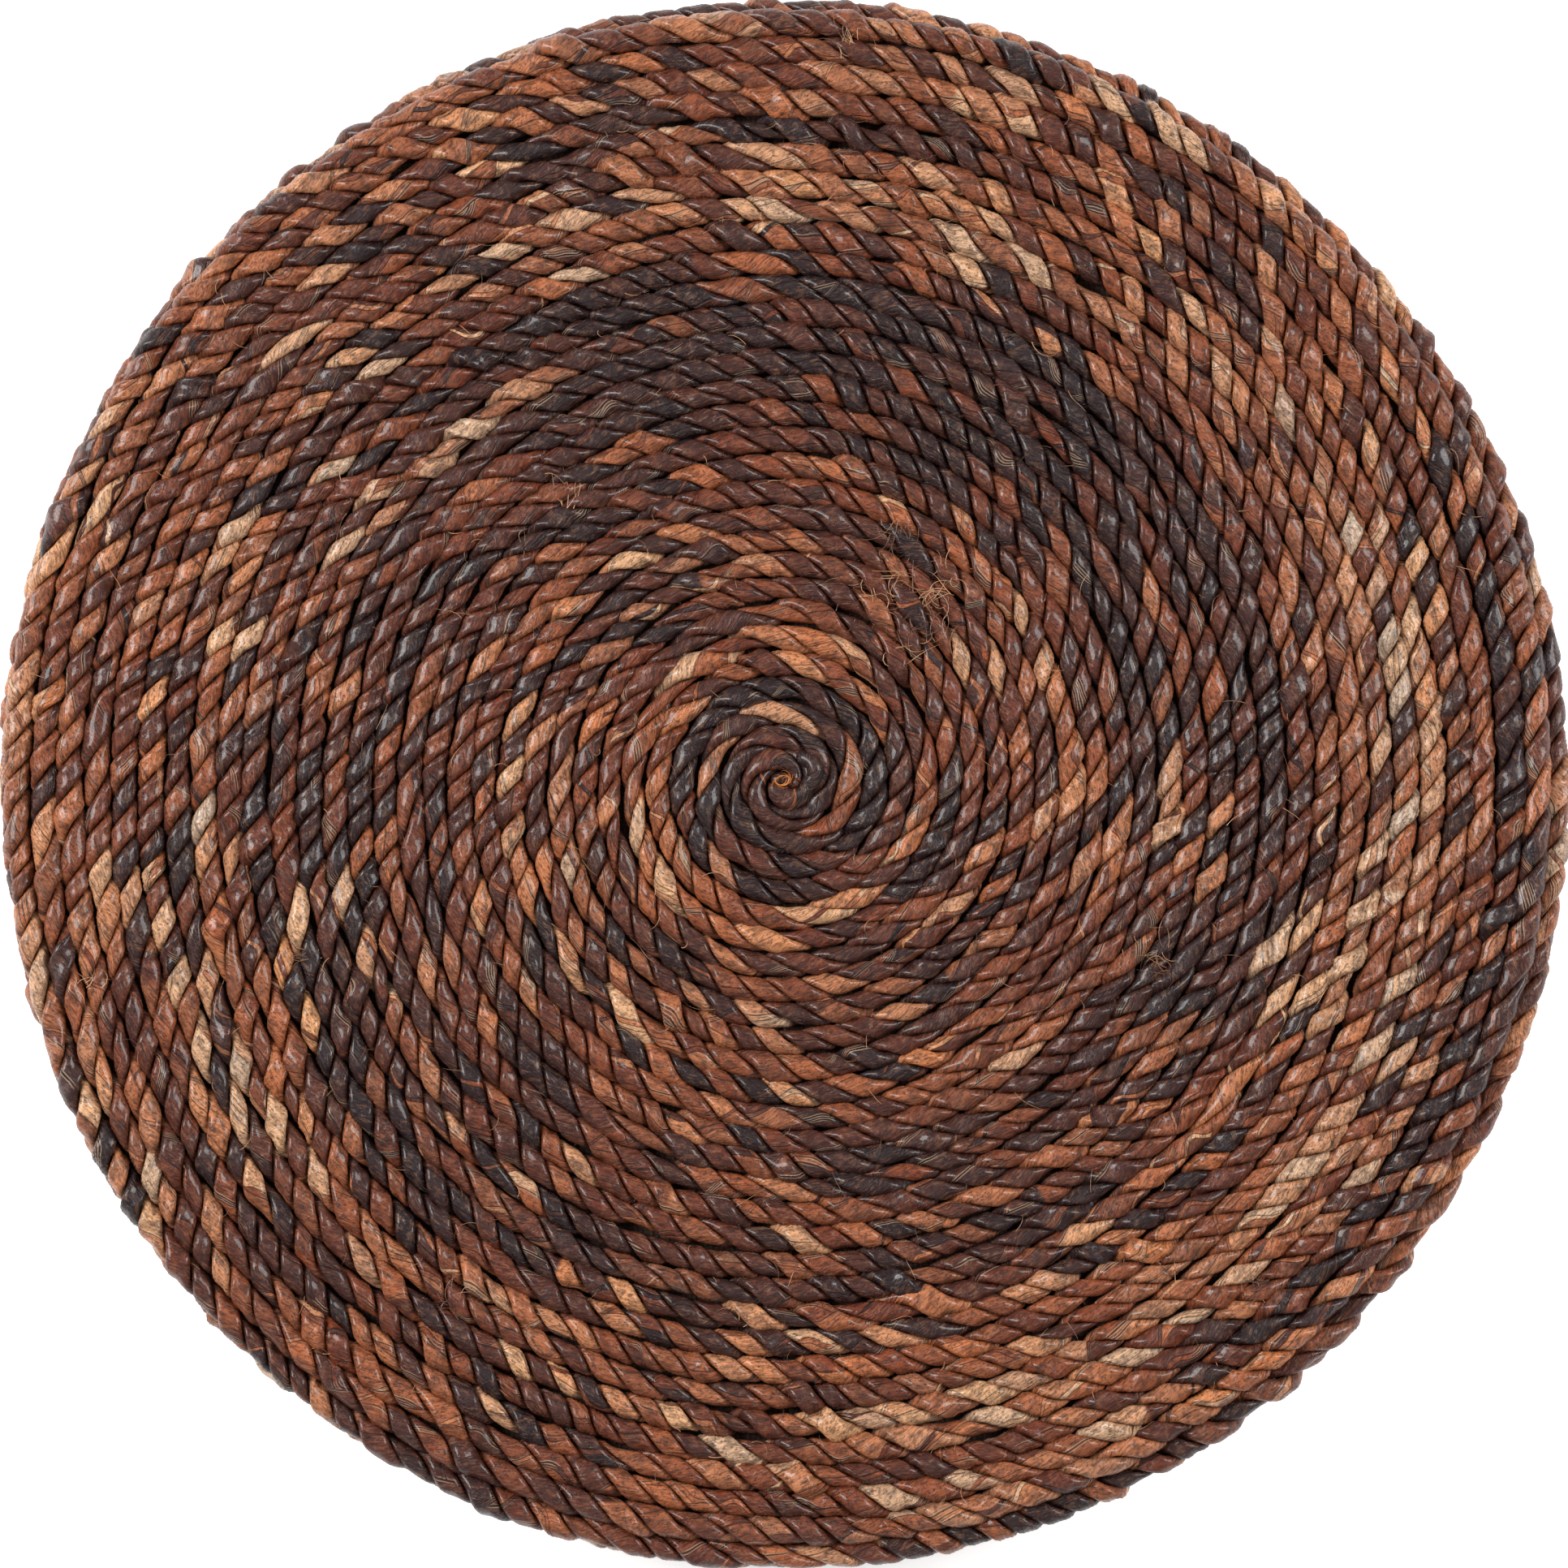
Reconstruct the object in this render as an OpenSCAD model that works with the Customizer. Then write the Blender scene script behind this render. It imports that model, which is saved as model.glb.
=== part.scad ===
// Round chair seat pad: a cap of coiled two-ply rope over felt and foam, closed by a stitched cloth base.
// The pad stands on z = 0 with its centre on the Z axis. Seen from above, the rope winds outwards
// counter-clockwise: flat over the seat, round the rim and down the side to the base cloth.

/* [Pad] */
// Overall diameter of the pad
pad_d = 380; // [320:1:440]
// Overall height of the pad
pad_h = 32; // [28:0.5:45]
// Radius of the rounded rim, at the middle of the rope
rim_r = 4.5; // [4.5:0.5:6]

/* [Rope] */
// Thickness of the twisted rope
rope_d = 5.8; // [5.4:0.1:5.8]
// Smallest distance from one row of rope to the next
row_pitch = 6.1; // [6.1:0.1:6.6]
// Radius at which the first full turn of the coil begins
coil_start_r = 4.6; // [4.6:0.1:6]

/* [Inside] */
// Thickness of the sewing thread on the inner side of the rope
tie_d = 0.8; // [0.6:0.1:0.8]
// Number of sewn lines that hold the rows together
tie_count = 12; // [6:1:24]
// Thickness of the cloth glued over the sewn lines
scrim_t = 0.4; // [0.3:0.1:0.5]
// Thickness of the felt layer under the scrim
felt_t = 3; // [2:0.5:3]
// Gap between one layer and the next
layer_gap = 0.1; // [0.05:0.05:0.1]

/* [Base] */
// Thickness of the base cloth
cloth_t = 1.2; // [1:0.1:2]
// Width of the turned-in hem of the base cloth
hem_w = 12; // [8:1:16]
// Thickness of the turned-in hem
hem_t = 0.7; // [0.5:0.1:1]
// Number of stitches round the base
stitch_count = 120; // [60:1:160]
// Length of one stitch
stitch_len = 5.2; // [3:0.1:5.6]
// Thickness of the stitching thread
stitch_d = 0.6; // [0.4:0.1:0.7]
// Distance from the edge of the base cloth in to the stitches
stitch_inset = 5; // [4:0.5:7]

/* [Hidden] */

// Middle of the rope: flat out to flat_r, round the rim, then down the wall at wall_r.
rope_r = rope_d / 2;
wall_r = pad_d / 2 - rope_r;
flat_r = wall_r - rim_r;
top_z = pad_h - rope_r;
rim_z = top_z - rim_r;
hem_top_z = cloth_t + hem_t + layer_gap;

// The rows lie further apart round the rim than on the flat, so its run counts for less than its length.
rim_ease = 0.85;
rim_run = rim_ease * rim_r * PI / 2;
path_len = flat_r + rim_run + rim_z - hem_top_z - rope_r;

// The rope in half turns, and the rows spread evenly so that the last one ends on the hem.
half_turns = floor(2 * (path_len - coil_start_r) / row_pitch);
half_pitch = (path_len - coil_start_r) / half_turns;
flat_halves = floor((flat_r - coil_start_r) / half_pitch);
rim_halves = ceil((flat_r + rim_run - coil_start_r) / half_pitch);
ply_r = half_pitch / 2 - layer_gap / 2;
row_cut = 0.05;

// How far each layer's outer face is in from the middle of the rope.
tie_in = rope_r + layer_gap + tie_d / 2;
scrim_in = tie_in + tie_d / 2 + layer_gap;
felt_in = scrim_in + scrim_t + layer_gap;
core_in = felt_in + felt_t + layer_gap;
layer_corner = 0.5;
core_corner = 3;
tie_from_r = coil_start_r + rope_d;

cloth_r = wall_r - 0.5;
hem_inner_r = cloth_r - hem_w;
stitch_r = cloth_r - stitch_inset;
groove_w = stitch_d + 0.5;
stitch_z = stitch_d / 2 + layer_gap;

rope_fn = 24;
turn_fn = 96;
thread_fn = 16;

function rim_angle(s) = (s - flat_r) / rim_run * 90;

// Radius and height of the middle of the rope, a run of s outwards from the centre.
function rope_at(s) =
    s <= flat_r ? [s, top_z] :
    s <= flat_r + rim_run ? [flat_r + rim_r * sin(rim_angle(s)), rim_z + rim_r * cos(rim_angle(s))] :
    [wall_r, rim_z - (s - flat_r - rim_run)];

function half_end(k) = rope_at(coil_start_r + half_pitch * k);

// One half turn: a half ring from the row's place on one side to its place on the other, tilted to fit.
// A cut leaves its far end that much short of the next half turn.
module half_turn(k, cut = 0) {
    from = half_end(k);
    to = half_end(k + 1);
    side = k % 2 == 0 ? 1 : -1;
    reach = from[0] + to[0];
    drop = from[1] - to[1];
    ring_r = norm([reach, drop]) / 2;
    translate([side * (from[0] - to[0]) / 2, 0, (from[1] + to[1]) / 2])
        rotate([0, -side * atan(drop / reach), 0])
            rotate([0, 0, side > 0 ? 0 : 180])
                rotate_extrude(angle = 180 - cut / ring_r * 180 / PI, $fn = turn_fn)
                    translate([ring_r, 0])
                        circle(r = rope_r, $fn = rope_fn);
}

// The flat rows join into one solid. The tilted rows below them are cut apart at each half turn.
module coil(first, last, cut = 0) {
    for (k = [first : last - 1]) half_turn(k, cut);
}

// The section of the space under the rope, a distance of inset in from its middle, down to z0.
module cap_section(inset, z0, corner) {
    edge_r = wall_r - inset;
    edge_z = top_z - inset;
    translate([0, z0]) square([edge_r - corner, edge_z - z0]);
    translate([0, z0]) square([edge_r, edge_z - corner - z0]);
    translate([edge_r - corner, edge_z - corner]) circle(r = corner, $fn = turn_fn);
}

module cap_shell(inset, thickness) {
    rotate_extrude($fn = turn_fn)
        difference() {
            cap_section(inset, hem_top_z, layer_corner);
            cap_section(inset + thickness, hem_top_z - 1, layer_corner);
        }
}

module top_coil() {
    color("sienna") coil(0, flat_halves);
}

module rim_coil() {
    color("chocolate") coil(flat_halves, rim_halves, row_cut);
}

module side_coil() {
    color("brown") coil(rim_halves, half_turns, row_cut);
}

// The tucked-in beginning of the rope, cut square at the middle of the pad.
module rope_start() {
    color("black") half_turn(-1);
}

// One ply that runs on for half a turn under the last row, so that the coil steps down to the hem.
module rope_tail() {
    side = half_turns % 2 == 0 ? 0 : 180;
    color("peru")
        translate([0, 0, hem_top_z + ply_r])
            rotate([0, 0, side])
                rotate_extrude(angle = 180, $fn = turn_fn)
                    translate([wall_r, 0])
                        circle(r = ply_r, $fn = rope_fn);
}

// One sewn line: out along the underside of the rows, round the rim and down the wall.
module tie() {
    translate([tie_from_r, 0, top_z - tie_in])
        rotate([0, 90, 0])
            cylinder(h = flat_r - tie_from_r, d = tie_d, $fn = thread_fn);
    translate([flat_r, 0, rim_z])
        rotate([90, 0, 0])
            rotate_extrude(angle = 90, $fn = turn_fn)
                translate([rim_r - tie_in, 0])
                    circle(d = tie_d, $fn = thread_fn);
    translate([wall_r - tie_in, 0, hem_top_z])
        cylinder(h = rim_z - hem_top_z, d = tie_d, $fn = thread_fn);
}

module row_ties() {
    color("tan")
        for (i = [0 : tie_count - 1]) rotate([0, 0, i * 360 / tie_count]) tie();
}

module backing_scrim() {
    color("saddlebrown") cap_shell(scrim_in, scrim_t);
}

module felt_layer() {
    color("lightgray") cap_shell(felt_in, felt_t);
}

module foam_core() {
    color("khaki") {
        rotate_extrude($fn = turn_fn) cap_section(core_in, hem_top_z, core_corner);
        translate([0, 0, cloth_t]) cylinder(h = hem_t + layer_gap, r = hem_inner_r - layer_gap, $fn = turn_fn);
    }
}

module base_cloth() {
    color("dimgray")
        difference() {
            cylinder(h = cloth_t, r = cloth_r, $fn = turn_fn);
            stitch_groove();
        }
}

// The channel that the stitches pull into the underside of the base cloth.
module stitch_groove() {
    translate([0, 0, -1])
        difference() {
            cylinder(h = 1 + stitch_z + stitch_d / 2, r = stitch_r + groove_w / 2, $fn = turn_fn);
            cylinder(h = 3, r = stitch_r - groove_w / 2, $fn = turn_fn);
        }
}

module base_hem() {
    color("gray")
        translate([0, 0, cloth_t])
            difference() {
                cylinder(h = hem_t, r = cloth_r, $fn = turn_fn);
                translate([0, 0, -1]) cylinder(h = hem_t + 2, r = hem_inner_r, $fn = turn_fn);
            }
}

module base_stitches() {
    color("black")
        for (i = [0 : stitch_count - 1])
            rotate([0, 0, i * 360 / stitch_count])
                translate([stitch_r, -stitch_len / 2, stitch_z])
                    rotate([-90, 0, 0])
                        cylinder(h = stitch_len, d = stitch_d, $fn = thread_fn);
}

top_coil();
rim_coil();
side_coil();
rope_start();
rope_tail();
row_ties();
backing_scrim();
felt_layer();
foam_core();
base_cloth();
base_hem();
base_stitches();
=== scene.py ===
# %% [markdown]
# # A round chair pad of coiled rope
# The pad is one long two-ply rope of twisted bark strips, wound in a flat spiral from the middle to
# the rim and then down the side. Under the rope are sewn threads, a dark scrim, a felt layer and a
# foam cushion, and a canvas disc closes the underside. The hard, measured model comes in first. It
# gives every size and place that is used below.

# %% Tools and frame
import math

import bpy
import numpy as np
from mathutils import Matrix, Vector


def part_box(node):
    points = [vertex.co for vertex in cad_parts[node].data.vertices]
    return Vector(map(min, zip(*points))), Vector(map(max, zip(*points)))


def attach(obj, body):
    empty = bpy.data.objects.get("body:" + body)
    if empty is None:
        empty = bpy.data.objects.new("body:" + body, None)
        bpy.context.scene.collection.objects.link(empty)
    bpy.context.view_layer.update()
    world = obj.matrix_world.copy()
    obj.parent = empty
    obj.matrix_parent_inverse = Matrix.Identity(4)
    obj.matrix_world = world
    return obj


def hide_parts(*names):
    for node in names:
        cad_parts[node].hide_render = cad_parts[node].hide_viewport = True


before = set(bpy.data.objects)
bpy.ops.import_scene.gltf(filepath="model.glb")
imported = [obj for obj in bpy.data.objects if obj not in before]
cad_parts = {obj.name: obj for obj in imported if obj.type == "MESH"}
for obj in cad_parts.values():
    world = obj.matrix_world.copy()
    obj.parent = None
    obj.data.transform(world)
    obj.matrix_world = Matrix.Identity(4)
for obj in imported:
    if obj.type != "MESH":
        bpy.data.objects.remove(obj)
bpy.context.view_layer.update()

MM = 0.001

# %% [markdown]
# ## Sizes
# A rope maker thinks in the rope's thickness, its lay (how far one strand runs to go once round the
# rope) and the pitch from row to row. The thickness, the pad's radius and the heights are read off the
# measured model. What the rope does on a finer scale than that, such as its lay, is named here.

# %% Sizes of the pad and the rope
rope_low, rope_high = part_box("top_coil")
side_low, side_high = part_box("side_coil")
rope_r = (rope_high.z - rope_low.z) / 2
pad_r = side_high.x
pad_top = rope_high.z
wall_r = pad_r - rope_r
top_z = pad_top - rope_r
last_z = side_low.z + rope_r
hem_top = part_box("base_hem")[1].z

# The rows lie further apart round the rim than on the flat, so its run counts for less than its length.
rim_r = 4.5 * MM
rim_ease = 0.85
rim_run = rim_ease * rim_r * math.pi / 2
flat_r = wall_r - rim_r
rope_run = flat_r + rim_run + (top_z - rim_r - last_z)

turns = 33
first_run = 4.6 * MM
mean_pitch = (rope_run - first_run) / turns
pitch_spread = 0.07
lay = 16.4 * MM
print(f"rope {2 * rope_r / MM:.1f} mm thick, {turns} turns, {mean_pitch / MM:.2f} mm from row to row")

# %% [markdown]
# ## Studio
# The pad is seen from straight above, so the camera looks down the vertical axis from far enough
# away that the side of the pad hardly shows. Small pads like this are shown on a white floor, between
# two large soft lights that rake across the rope from the left and the right and leave a small bright
# streak on each strand. A pale sky fills the shadows.

# %% Floor, lights and camera
def deselect():
    bpy.ops.object.select_all(action="DESELECT")


def named(name):
    """The object that an operator has just made, under its own name."""
    piece = bpy.context.object
    piece.name = name
    piece.data.name = name
    return piece


def softbox(name, place, size, power):
    """A rectangular area light at a place, aimed at the middle of the pad."""
    light = bpy.data.lights.new(name, "AREA")
    light.shape = "RECTANGLE"
    light.size, light.size_y = size
    light.energy = power
    lamp = bpy.data.objects.new(name, light)
    bpy.context.collection.objects.link(lamp)
    lamp.location = place
    lamp.rotation_euler = (-lamp.location).to_track_quat("-Z", "Y").to_euler()


deselect()
bpy.ops.mesh.primitive_plane_add(size=6, location=(0, 0, 0))
floor = named("floor")
floor_paint = bpy.data.materials.new("white floor")
floor_paint.use_nodes = True
floor_skin = floor_paint.node_tree.nodes["Principled BSDF"]
floor_skin.inputs["Base Color"].default_value = (0.9, 0.9, 0.9, 1)
floor_skin.inputs["Roughness"].default_value = 0.9
floor_skin.inputs["Emission Color"].default_value = (1, 1, 1, 1)
floor_skin.inputs["Emission Strength"].default_value = 0.55
floor.data.materials.append(floor_paint)

softbox("left light", (-1.15, 0.35, 1.0), (0.6, 0.9), 25)
softbox("right light", (1.15, 0.35, 1.0), (0.6, 0.9), 19)

sky = bpy.data.worlds.new("pale sky")
sky.use_nodes = True
sky.node_tree.nodes["Background"].inputs["Color"].default_value = (1, 1, 1, 1)
sky.node_tree.nodes["Background"].inputs["Strength"].default_value = 0.28
scene = bpy.context.scene
scene.world = sky
scene.view_settings.view_transform = "Standard"

seen_z = 21 * MM
frame_half = 190.6 * MM
lens, film = 120, 36
eye = bpy.data.cameras.new("camera")
eye.lens, eye.sensor_width = lens, film
camera = bpy.data.objects.new("camera", eye)
bpy.context.collection.objects.link(camera)
camera.location = (0, 0, seen_z + frame_half * lens / (film / 2))
scene.camera = camera
print(f"camera {camera.location.z:.3f} m above the floor")

# %% [markdown]
# ## Small helpers
# Shader nodes are wired in the same way all through: a node is added, a few of its settings and
# inputs are given, and the result of one goes into the next. One short function does that. Two more
# make smooth random values along a line and over a surface, because nothing made by hand is even.

# %% Helpers for shaders
class Wiring:
    """Adds nodes to one material and joins them up."""

    def __init__(self, name, roughness, sheen=0.0, coat=0.0, specular=0.5):
        self.material = bpy.data.materials.new(name)
        self.material.use_nodes = True
        self.tree = self.material.node_tree
        self.skin = self.tree.nodes["Principled BSDF"]
        self.skin.inputs["Roughness"].default_value = roughness
        self.skin.inputs["Sheen Weight"].default_value = sheen
        self.skin.inputs["Coat Weight"].default_value = coat
        self.skin.inputs["Specular IOR Level"].default_value = specular

    def add(self, kind, inputs=(), **settings):
        """A node with these inputs: a number or colour is set, a socket is linked."""
        node = self.tree.nodes.new("ShaderNode" + kind)
        for key, value in settings.items():
            setattr(node, key, value)
        for key, value in dict(inputs).items():
            if isinstance(value, bpy.types.NodeSocket):
                self.tree.links.new(value, node.inputs[key])
            else:
                node.inputs[key].default_value = value
        return node

    def math(self, operation, *values, clamp=False):
        return self.add("Math", enumerate(values), operation=operation, use_clamp=clamp).outputs[0]

    def remap(self, value, low, high, to_low=0.0, to_high=1.0):
        """The value stretched from one range to another, smoothly and kept inside it."""
        inputs = {0: value, 1: low, 2: high, 3: to_low, 4: to_high}
        return self.add("MapRange", inputs, interpolation_type="SMOOTHSTEP").outputs[0]

    def noise(self, place, scale, detail=2.0, rough=0.5, distortion=0.0):
        inputs = {"Vector": place, "Scale": scale, "Detail": detail, "Roughness": rough,
                  "Distortion": distortion}
        return self.add("TexNoise", inputs).outputs[0]

    def blend(self, share, one, other, how="MIX"):
        """Two colours mixed: share is how much of the other is used."""
        inputs = {0: share, 6: one, 7: other}
        return self.add("Mix", inputs, data_type="RGBA", blend_type=how).outputs[2]

    def bump(self, height, distance, strength=1.0):
        inputs = {"Height": height, "Distance": distance, "Strength": strength}
        return self.add("Bump", inputs).outputs[0]

    def to_skin(self, **sockets):
        for name, value in sockets.items():
            self.tree.links.new(value, self.skin.inputs[name.replace("_", " ")])


# %% Helpers for random wear
def chance(seed):
    return np.random.default_rng(seed)


def drift(along, spacing, seed):
    """Smooth random values, about -1 to 1, that change over a distance of spacing."""
    step = along / spacing
    base = np.floor(step).astype(int)
    knots = chance(seed).normal(size=base.max() - base.min() + 2) * 0.6
    part = step - base
    part = part * part * (3 - 2 * part)
    base = base - base.min()
    return knots[base] * (1 - part) + knots[base + 1] * part


def lumps(along, around, spacing, count, seed):
    """Smooth random values over a tube: along it in metres, and around it from 0 to 1."""
    step, turn = along / spacing, (around % 1) * count
    row, column = np.floor(step).astype(int), np.floor(turn).astype(int)
    u, v = step - row, turn - column
    u, v = u * u * (3 - 2 * u), v * v * (3 - 2 * v)
    table = chance(seed).normal(size=(row.max() + 2, count)) * 0.6
    c0, c1 = column % count, (column + 1) % count
    near = table[row, c0] * (1 - v) + table[row, c1] * v
    far = table[row + 1, c0] * (1 - v) + table[row + 1, c1] * v
    return near * (1 - u) + far * u


def waves(x, y, shortest, longest, seed, count=14):
    """Smooth random values over the seat, about -1 to 1, from a few long waves."""
    draw = chance(seed)
    total = np.zeros_like(x)
    for _ in range(count):
        length, heading, phase = draw.uniform(shortest, longest), *draw.uniform(0, 2 * math.pi, 2)
        total += np.cos(2 * math.pi * (x * math.cos(heading) + y * math.sin(heading)) / length + phase)
    return total / math.sqrt(count)


# %% [markdown]
# ## The rope's path
# The rope is one line from the middle of the pad to the hem. It could be drawn as a curve and given
# a round bevel, but then it would be a smooth hose: the two strands that twist round each other are
# what the eye sees. So the path is worked out as points a millimetre apart, each with the direction of
# the rope and the direction straight out of the pad. The strands are then built round those points.
# Hand winding leaves the rows a little uneven, and neighbours share that, so whole patches shift together.

# %% Points along the rope
def run_at(turn):
    """How far out from the middle the rope has come after so many turns: the rows widen slowly."""
    return first_run + mean_pitch * turn * (1 - pitch_spread + pitch_spread * turn / turns)


def rope_place(run):
    """Radius, height and lean of the rope's middle: over the flat, round the rim, down the wall."""
    lean = np.clip((run - flat_r) / rim_run, 0, 1) * math.pi / 2
    radius = np.minimum(run, flat_r) + rim_r * np.sin(lean)
    height = top_z - rim_r * (1 - np.cos(lean)) - np.maximum(run - flat_r - rim_run, 0)
    return radius, height, lean


def unit(vectors):
    """The same directions, each of length one."""
    return vectors / np.linalg.norm(vectors, axis=1)[:, None]


def distance_along(line):
    """How far each point of a line is from its start, measured along it."""
    return np.concatenate([[0], np.cumsum(np.linalg.norm(np.diff(line, axis=0), axis=1))])


lead_turns, tail_turns = 0.5, 0.92
rings_per_lay = 16
ring_step = lay / rings_per_lay
fine_count = 60000
fine_turn = np.linspace(-lead_turns, turns + tail_turns, fine_count)
fine_angle = 2 * np.pi * fine_turn
fine_r, fine_z, _ = rope_place(run_at(fine_turn))
fine_z = np.maximum(fine_z, hem_top)
fine_xyz = np.stack([fine_r * np.cos(fine_angle), fine_r * np.sin(fine_angle), fine_z], 1)
fine_length = distance_along(fine_xyz)
ring_count = int(fine_length[-1] / ring_step)
length = np.arange(ring_count) * ring_step
turn = np.interp(length, fine_length, fine_turn)
radius, height, lean = rope_place(run_at(turn))

# After its last full turn the rope thins out and comes down on to the hem, in a little under one turn more.
thinning = 1 - np.clip(turn - turns, 0, 1)
height = np.where(thinning < 1, hem_top + (last_z - hem_top) * thinning, height)
angle = 2 * np.pi * turn
cos_a, sin_a = np.cos(angle), np.sin(angle)
centre = np.stack([radius * cos_a, radius * sin_a, height], 1)
out = np.stack([np.sin(lean) * cos_a, np.sin(lean) * sin_a, np.cos(lean)], 1)
print(f"{length[-1]:.1f} m of rope, {ring_count} rings")

# The rows wander sideways and up and down, but less near the rim and at the very middle.
calm = np.clip((flat_r - 4 * MM - radius) / (16 * MM), 0, 1) * np.clip(radius / (20 * MM), 0, 1)
side_shift = (0.50 * waves(centre[:, 0], centre[:, 1], 0.035, 0.11, 3) * calm
              + 0.34 * drift(length, 0.014, 4)) * MM
lift = (0.32 * waves(centre[:, 0], centre[:, 1], 0.03, 0.10, 5) * calm
        + 0.36 * drift(length, 0.015, 6) * (0.3 + 0.7 * calm) * thinning) * MM
flow = unit(np.gradient(centre, axis=0))
across = np.cross(flow, out)
centre = centre + across * side_shift[:, None] + out * lift[:, None]
flow = unit(np.gradient(centre, axis=0))
across = unit(np.cross(flow, out))
out = np.cross(across, flow)

# %% [markdown]
# ## Colours of the strips
# The rope is spun from strips of dried stem, each as long as a hand or an arm, from blue-black through
# purplish and reddish brown to orange, tan and straw. One strand holds about three strips side by
# side, and a spinner joins a new one in whenever one runs out. So each strand carries three rows of
# colours. The widest changes only where the strand is underneath, so that each bulge on show has one
# main tone, and the other two change anywhere. The mean tone follows the pad: dark in the middle, a
# dark arc halfway out, and paler rows near the rim. A few lengths that catch the eye are listed one by one.

# %% Tone of the strips over the pad
def linear(*red_green_blue):
    """A colour given in screen values, 0 to 255, as light values."""
    value = np.array(red_green_blue, float) / 255
    return np.where(value <= 0.04045, value / 12.92, ((value + 0.055) / 1.055) ** 2.4)


strip_tones = {
    0.00: (31, 15, 23), 0.14: (53, 26, 27), 0.30: (84, 39, 29), 0.44: (116, 54, 33),
    0.56: (149, 80, 48), 0.68: (179, 105, 67), 0.80: (206, 135, 92), 0.90: (222, 164, 122),
    1.00: (230, 190, 152),
}
tone_steps = np.array(sorted(strip_tones))
tone_colours = np.array([linear(*strip_tones[t]) for t in tone_steps])

# Mean tone from the middle of the pad outwards: distance in mm, tone.
tone_by_radius = {0: 0.14, 22: 0.22, 30: 0.43, 40: 0.40, 60: 0.47, 82: 0.40, 118: 0.35, 132: 0.49,
                  146: 0.61, 160: 0.53, 170: 0.49, 180: 0.56, 215: 0.54}
# Arcs that are darker or paler: mean distance in mm, half width, first and last angle, change in tone.
tone_arcs = [
    (98, 18, -10, 125, -0.17), (124, 6, 55, 130, -0.16), (136, 7, -95, -55, -0.14),
    (155, 9, -90, 0, 0.10), (160, 9, 30, 160, -0.08), (184, 7, 150, 235, 0.10),
    (30, 8, 170, 250, 0.16), (125, 12, 170, 260, -0.06), (176, 5, -60, 30, -0.10),
]
arc_fade = 12
darkest, palest = 0, 0.95


def mean_tone(radius_m, angle_r):
    """Mean tone at a distance and angle, with the darker and paler arcs."""
    radius_mm = radius_m / MM
    tone = np.interp(radius_mm, list(tone_by_radius), list(tone_by_radius.values()))
    degrees = np.degrees(angle_r)
    for middle, half, first, last, change in tone_arcs:
        turned = (degrees - first) % 360
        inside = np.clip(turned / arc_fade, 0, 1) * np.clip((last - first - turned) / arc_fade, 0, 1)
        tone += change * inside * np.clip(1.6 - np.abs(radius_mm - middle) / half, 0, 1)
    return tone


warmth_spread = 0.06
mean_bulges, bulge_spread = 2.2, 0.16


def strip_tones_along(seed, shortest, longest, spread):
    """One row of strips along the whole rope: how far each is from the mean tone, and how warm."""
    draw = chance(seed)
    tones, warmths = np.zeros(ring_count), np.zeros(ring_count)
    at = 0
    while at < ring_count:
        count = int(draw.uniform(shortest, longest) / ring_step)
        tones[at:at + count] = spread * draw.normal()
        warmths[at:at + count] = warmth_spread * draw.normal()
        at += count
    return tones, warmths


def strips_by_bulge(seed, bulge, spread):
    """Strips that change only where the strand is underneath, so each visible bulge has one main tone."""
    draw = chance(seed)
    bulge = bulge - bulge[0]
    tones, warmths = np.zeros(bulge[-1] + 1), np.zeros(bulge[-1] + 1)
    at = 0
    while at <= bulge[-1]:
        count = 1 + int(draw.exponential(mean_bulges))
        tones[at:at + count] = spread * draw.normal()
        warmths[at:at + count] = warmth_spread * draw.normal()
        at += count
    return (tones + bulge_spread * draw.normal(size=len(tones)))[bulge], warmths[bulge]


# Lengths of one strand that stand out: which strand, distance in mm, first and last angle, change in
# tone, and swelling.
marked_lengths = [(0, 127, 100, 245, -0.55, 0), (1, 176, -60, 30, -0.50, 0), (0, 181, -30, -4, -0.45, 0),
                  (0, 173, 68, 76, 0.50, 0.42), (1, 147, 196, 222, 0.26, 0), (0, 152, 186, 214, 0.22, 0)]


def marked_rings(distance, first, last):
    """For each ring: 1 if it is in the length that starts here, 0 if not, and its share of the way along."""
    all_turns = np.linspace(0, turns, 4000)
    reached = np.interp(distance * MM, run_at(all_turns), all_turns)
    start = round(reached - first / 360) + first / 360
    end = start + (last - first) / 360
    return ((turn >= start) & (turn <= end)).astype(float), np.clip((turn - start) / (end - start), 0, 1)


def strip_colours(tones, warmths):
    """The colour of a row of strips at every ring."""
    tone = np.clip(mean_tone(radius, angle) + tones, darkest, palest)
    colour = np.stack([np.interp(tone, tone_steps, tone_colours[:, k]) for k in range(3)], 1)
    return colour * np.stack([1 + warmths, np.ones(ring_count), 1 - 1.3 * warmths], 1)


# %% [markdown]
# ## The strands
# Each strand is a tube that winds round the rope's middle. Its section isn't round, because the two
# strands press each other flat on the inside: it is a D with its back to the other strand. The twist
# is right-handed. The section swells and shrinks a little from bulge to bulge, and the folded strips
# leave low ridges along it. The fibres in a strand turn the other way from the strand itself, so on
# the surface they run almost straight along the rope. The mesh carries that as its own map: distance
# along the strand, and place around it. Mesh tubes are built from arrays here, because a curve's bevel
# can't change its section.

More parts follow.
